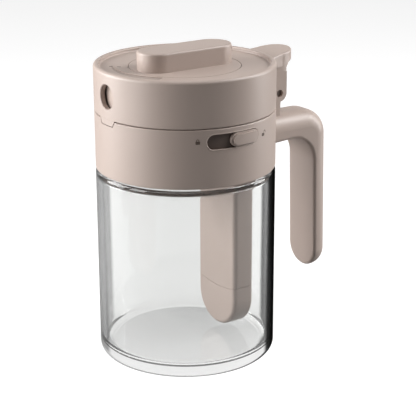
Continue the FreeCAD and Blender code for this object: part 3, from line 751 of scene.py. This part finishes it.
def on_collar(name, faces, radius, degrees, height, rise, material):
    """A thin closed shape wrapped round the head at that radius. Each face is a ring of places,
    given along the collar and up it."""
    mesh = bmesh.new()
    for ring in faces:
        mesh.faces.new([mesh.verts.new((along, up, -SINK)) for along, up in ring])
    bmesh.ops.remove_doubles(mesh, verts=mesh.verts, dist=WELD)
    raised = bmesh.ops.extrude_face_region(mesh, geom=mesh.faces[:])["geom"]
    for corner in raised:
        if isinstance(corner, bmesh.types.BMVert):
            corner.co.z = rise
    for corner in mesh.verts:
        along, up, out = corner.co
        angle = math.radians(degrees) + along / radius
        corner.co = ((radius + out) * math.cos(angle), (radius + out) * math.sin(angle), height + up)
    bmesh.ops.recalc_face_normals(mesh, faces=mesh.faces)
    if not all(edge.is_manifold for edge in mesh.edges):
        raise RuntimeError(f"{name} isn't closed")
    data = bpy.data.meshes.new(name)
    mesh.to_mesh(data)
    mesh.free()
    data.materials.append(material)
    piece = bpy.data.objects.new(name, data)
    bpy.context.scene.collection.objects.link(piece)
    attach(piece, "jar")


def strip(low, high):
    """Faces between two rows of places."""
    return [[low[here], low[here + 1], high[here + 1], high[here]] for here in range(len(low) - 1)]


def slot_face(length, width, steps=10):
    """Faces of a straight slot's outline, in upright strips."""
    reach, half = (length - width) / 2, width / 2
    turns = [math.pi / 2 * step / steps for step in range(steps, -1, -1)]
    left = [(-reach - half * math.sin(turn), half * math.cos(turn)) for turn in turns]
    middle = [(reach * (step / steps - 1), half) for step in range(1, 2 * steps)]
    right = [(-along, up) for along, up in reversed(left)]
    high = left + middle + right
    return strip([(along, -up) for along, up in high], high)


def padlock(width, opened):
    """Faces of a padlock: its body and its shackle."""
    high, corner, half = width * 0.72, width * 0.12, width / 2
    body = [(half - corner, 0), (half, corner), (half, high - corner), (half - corner, high),
            (corner - half, high), (-half, high - corner), (-half, corner), (corner - half, 0)]
    lift, slide = (width * 0.14, width * 0.62) if opened else (0, 0)
    inner, outer = [], []
    for row, reach in ((inner, width * 0.22), (outer, width * 0.36)):
        row.append((reach + slide, high - SINK))
        row += [(reach * math.cos(turn) + slide, high + lift + width * 0.1 + reach * math.sin(turn))
                for turn in (math.pi * step / 10 for step in range(11))]
        row.append((slide - reach, high + lift if opened else high - SINK))
    return [body] + strip(inner, outer)


class JAR_OT_padlocks(bpy.types.Operator):
    """Print a closed and an open padlock at the ends of the lock slot"""
    bl_idname = "jar.padlocks"
    bl_label = "Padlocks"

    def execute(self, context):
        size = context.scene.jar_marks
        ink = mark_ink()
        for name, opened, degrees, height in PADLOCKS:
            on_collar(name, padlock(size.padlock_width, opened), COLLAR_RADIUS, degrees, height * MM,
                      size.print_height, ink)
        return {"FINISHED"}


def bead_tree(material):
    """Geometry Nodes tree for a bead that follows the slot's outline, wrapped on the collar."""
    tree, given, out = new_group("slot_bead", "GeometryNodeTree", [
        (label, "NodeSocketFloat", 0.0)
        for label in ("Length", "Width", "Radius", "Bead", "Middle", "Height")
    ], [("Geometry", "NodeSocketGeometry")])
    outline = node(tree, "GeometryNodeCurvePrimitiveQuadrilateral")
    feed(tree, outline, Width=given["Length"], Height=given["Width"])
    rounded = node(tree, "GeometryNodeFilletCurve", mode="POLY")
    feed(tree, rounded, Curve=outline.outputs[0], Count=14, Limit_Radius=True,
         Radius=calc(tree, "MULTIPLY", given["Width"], 0.499))
    even = node(tree, "GeometryNodeResampleCurve", mode="COUNT")
    feed(tree, even, Curve=rounded.outputs[0], Count=140)
    split = node(tree, "ShaderNodeSeparateXYZ")
    link(tree, node(tree, "GeometryNodeInputPosition").outputs[0], split.inputs[0])
    turn = calc(tree, "DIVIDE", split.outputs["X"], given["Radius"])
    angle = calc(tree, "ADD", given["Middle"], turn)
    place = node(tree, "ShaderNodeCombineXYZ")
    feed(tree, place, X=calc(tree, "MULTIPLY", given["Radius"], calc(tree, "COSINE", angle)),
         Y=calc(tree, "MULTIPLY", given["Radius"], calc(tree, "SINE", angle)),
         Z=calc(tree, "ADD", given["Height"], split.outputs["Y"]))
    wrapped = node(tree, "GeometryNodeSetPosition")
    feed(tree, wrapped, Geometry=even.outputs[0], Position=place.outputs[0])
    ring = node(tree, "GeometryNodeCurvePrimitiveCircle")
    feed(tree, ring, Resolution=10, Radius=given["Bead"])
    tube = node(tree, "GeometryNodeCurveToMesh")
    feed(tree, tube, Curve=wrapped.outputs[0], Profile_Curve=ring.outputs["Curve"])
    smooth = node(tree, "GeometryNodeSetShadeSmooth")
    link(tree, tube.outputs[0], smooth.inputs[0])
    finished_with(tree, smooth.outputs[0], material, out)
    return tree


class JAR_OT_slot(bpy.types.Operator):
    """Lay a sheet of painted shadow on the lock slot's floor and round its edge"""
    bl_idname = "jar.slot"
    bl_label = "Lock Slot"

    def execute(self, context):
        size = context.scene.jar_marks
        bead = grown("slot_bead", bead_tree(matte_plastic("bead_plastic", 0.4, 0.5)), {
            "Length": size.slot_length + size.slot_bead, "Width": size.slot_width + size.slot_bead,
            "Radius": COLLAR_RADIUS - size.slot_bead * 0.5, "Bead": size.slot_bead,
            "Middle": SLOT_TURN, "Height": SLOT_HEIGHT,
        })
        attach(bead, "jar")
        # the sheet on the slot's floor is painted shadow for the recess
        clear = 0.1 * MM
        on_collar("slot_liner", slot_face(size.slot_length - clear, size.slot_width - clear),
                  COLLAR_RADIUS - size.slot_depth, math.degrees(SLOT_TURN), SLOT_HEIGHT,
                  size.print_height, slot_shadow())
        return {"FINISHED"}


# ---------------------------------------------------------------- stage
def show_to_eye(tree, mirrored):
    """1 for rays that show a surface directly or through glass, and mirrored in a reflection."""
    path = node(tree, "ShaderNodeLightPath")
    seen = calc(tree, "MAXIMUM", path.outputs["Is Camera Ray"], path.outputs["Is Transmission Ray"])
    return calc(tree, "MAXIMUM", seen, calc(tree, "MULTIPLY", path.outputs["Is Glossy Ray"], mirrored))


def floor_material():
    """White paper: it takes shadows, and shows white where no shadow falls."""
    material, tree, shader = new_material("white_paper")
    shader.inputs["Base Color"].default_value = PAPER
    shader.inputs["Roughness"].default_value = 0.9
    shader.inputs["Specular IOR Level"].default_value = 0.0
    shader.inputs["Emission Color"].default_value = (1, 1, 1, 1)
    glow = calc(tree, "MULTIPLY", show_to_eye(tree, 0.0), bpy.context.scene.jar_studio.paper_glow)
    link(tree, glow, shader.inputs["Emission Strength"])
    return material


def soft_box(name, place, target, width, height, power):
    """A rectangular lamp that the camera doesn't see, aimed at the target."""
    lamp = bpy.data.lights.new(name, "AREA")
    lamp.shape = "RECTANGLE"
    lamp.size, lamp.size_y = width, height
    lamp.energy = power
    box = bpy.data.objects.new(name, lamp)
    box.location = place
    box.rotation_euler = (Vector(target) - Vector(place)).to_track_quat("-Z", "Y").to_euler()
    box.visible_camera = False
    bpy.context.scene.collection.objects.link(box)


class JAR_OT_stage(bpy.types.Operator):
    """Set up the floor, the soft boxes, the world and the camera"""
    bl_idname = "jar.stage"
    bl_label = "Studio"

    def execute(self, context):
        scene = context.scene
        settings = scene.jar_studio
        reach = FLOOR_REACH
        mesh = bpy.data.meshes.new("floor")
        corners = [(-reach, -reach, 0), (reach, -reach, 0), (reach, reach, 0), (-reach, reach, 0)]
        mesh.from_pydata(corners, [], [(0, 1, 2, 3)])
        mesh.materials.append(floor_material())
        floor = bpy.data.objects.new("floor", mesh)
        floor.location.z = -FLOOR_GAP
        scene.collection.objects.link(floor)

        world = bpy.data.worlds.new("studio")
        world.use_nodes = True
        scene.world = world
        tree = world.node_tree
        background = next(found for found in tree.nodes if found.type == "BACKGROUND")
        background.inputs["Color"].default_value = (1, 1, 1, 1)
        link(tree, show_to_eye(tree, MIRRORED_WHITE), background.inputs["Strength"])

        place = Vector(settings.camera_place)
        view = Vector(settings.camera_target) - place
        middle = Vector((0, 0, LID_HIGH.z / 2))
        back = Vector((-view.x, -view.y, 0)).normalized()
        right = Vector((-back.y, back.x, 0))

        def around(degrees, distance, height):
            """A place round the jar, by its angle to the right of the camera."""
            turn = math.radians(degrees)
            side = back * math.cos(turn) + right * math.sin(turn)
            return middle + side * distance + Vector((0, 0, height))

        for name, degrees, distance, height, width, length in SOFT_BOXES:
            soft_box(f"{name}_box", around(degrees, distance, height), middle, width, length,
                     getattr(settings, f"{name}_power"))

        lens = bpy.data.cameras.new("camera")
        lens.lens = settings.lens
        lens.clip_start = 0.01
        camera = bpy.data.objects.new("camera", lens)
        camera.location = place
        turn = view.to_track_quat("-Z", "Y").to_matrix().to_4x4()
        turn.translation = place
        camera.matrix_world = turn
        camera.rotation_euler.rotate_axis("Z", settings.camera_roll)
        scene.collection.objects.link(camera)
        scene.camera = camera
        scene.view_settings.view_transform = "Standard"
        return {"FINISHED"}


# ---------------------------------------------------------------- panel and registration
OPERATORS = (JAR_OT_stage, JAR_OT_glass, JAR_OT_mouldings, JAR_OT_scale, JAR_OT_slot,
             JAR_OT_padlocks)


class JAR_PT_panel(bpy.types.Panel):
    """Seasoning jar"""
    bl_label = "Seasoning Jar"
    bl_space_type = "VIEW_3D"
    bl_region_type = "UI"
    bl_category = "Jar"

    def draw(self, context):
        column = self.layout.column()
        for operator in OPERATORS:
            column.operator(operator.bl_idname)
        for label in SETTINGS:
            group = getattr(context.scene, label)
            part = self.layout.box().column()
            for name in group.__annotations__:
                part.prop(group, name)


SETTINGS = {
    "jar_glass": JarGlassSettings,
    "jar_plastic": JarPlasticSettings,
    "jar_marks": JarMarkSettings,
    "jar_studio": JarStudioSettings,
}
CLASSES = (*SETTINGS.values(), *OPERATORS, JAR_PT_panel)


def register():
    for made in CLASSES:
        bpy.utils.register_class(made)
    for name, kind in SETTINGS.items():
        setattr(bpy.types.Scene, name, PointerProperty(type=kind))


def unregister():
    for name in SETTINGS:
        delattr(bpy.types.Scene, name)
    for made in reversed(CLASSES):
        bpy.utils.unregister_class(made)


def main():
    register()
    bpy.ops.jar.stage()
    bpy.ops.jar.glass()
    bpy.ops.jar.mouldings()
    bpy.ops.jar.scale()
    bpy.ops.jar.slot()
    bpy.ops.jar.padlocks()


if __name__ == "__main__":
    main()
